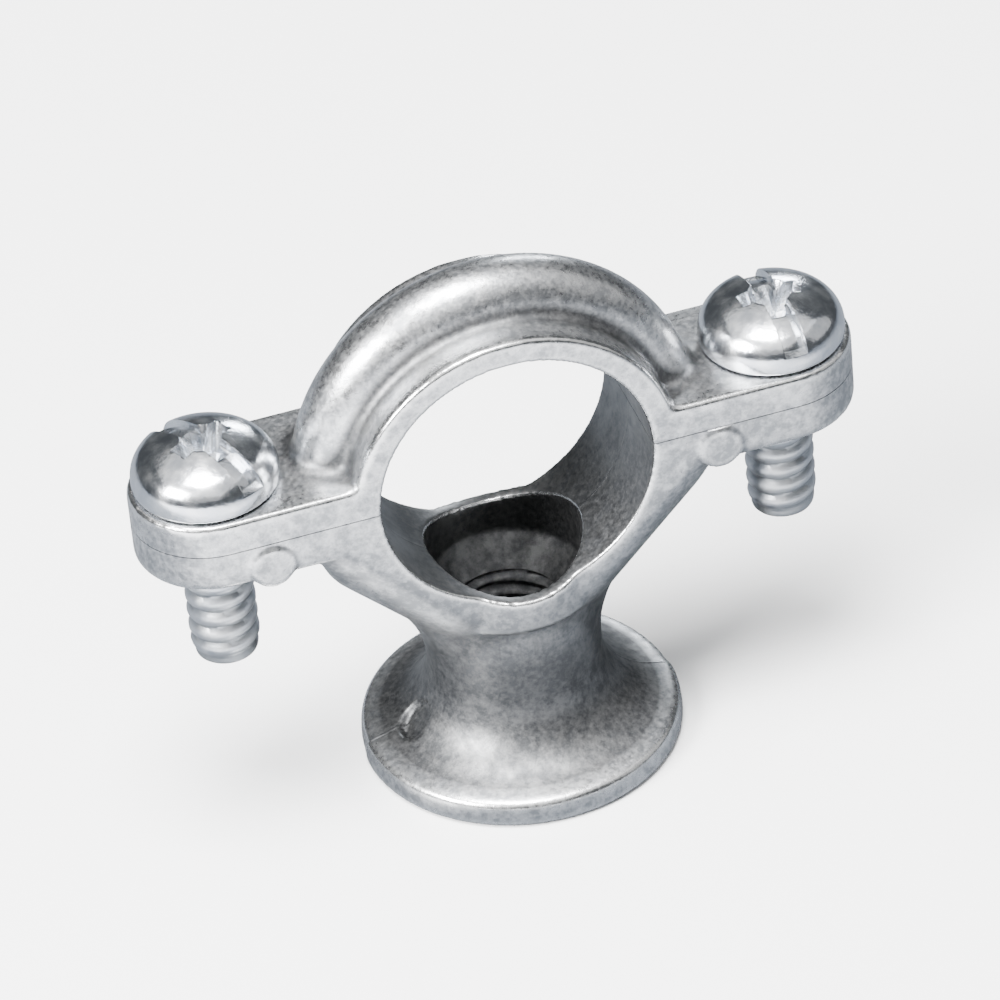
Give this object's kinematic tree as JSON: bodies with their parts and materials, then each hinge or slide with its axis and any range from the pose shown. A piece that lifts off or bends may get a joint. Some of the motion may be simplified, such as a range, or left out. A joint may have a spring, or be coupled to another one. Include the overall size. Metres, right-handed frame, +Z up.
{
  "type": "pipe clip",
  "caption": "Die-cast pipe clip: a split ring with two screwed ears on a short neck and a round tapped flange, for a small pipe or conduit.",
  "frame": {"origin": "centre of the flange's flat bottom face", "axes": "+Z up the neck to the pipe ring, Y along the pipe, X along the ears from screw_left to screw_right"},
  "size_m": [0.0426, 0.019, 0.0329],
  "materials": {
    "base_casting": "satin",
    "cap_strap": "satin",
    "screw_left": "gloss",
    "screw_right": "gloss"
  },
  "bodies": {
    "base": {"base_casting": "base_casting"},
    "cap": {"cap_strap": "cap_strap"},
    "left_screw": {"screw_left": "screw_left"},
    "right_screw": {"screw_right": "screw_right"}
  },
  "joints": [
    {"name": "cap_lift", "type": "slide", "parent": "base", "child": "cap", "axis": [0, 0, 1], "range_m": [0, 0.011]},
    {"name": "left_screw_turn", "type": "hinge", "parent": "cap", "child": "left_screw", "pos_m": [-0.01675, 0, 0.021], "axis": [0, 0, 1], "range_deg": [0, 3600]},
    {"name": "right_screw_turn", "type": "hinge", "parent": "cap", "child": "right_screw", "pos_m": [0.01675, 0, 0.021], "axis": [0, 0, 1], "range_deg": [0, 3600]}
  ],
  "couplings": [
    {"joint": "left_screw_turn", "follows": "cap_lift", "rad_per_m": 5712},
    {"joint": "right_screw_turn", "follows": "cap_lift", "rad_per_m": 5712}
  ]
}
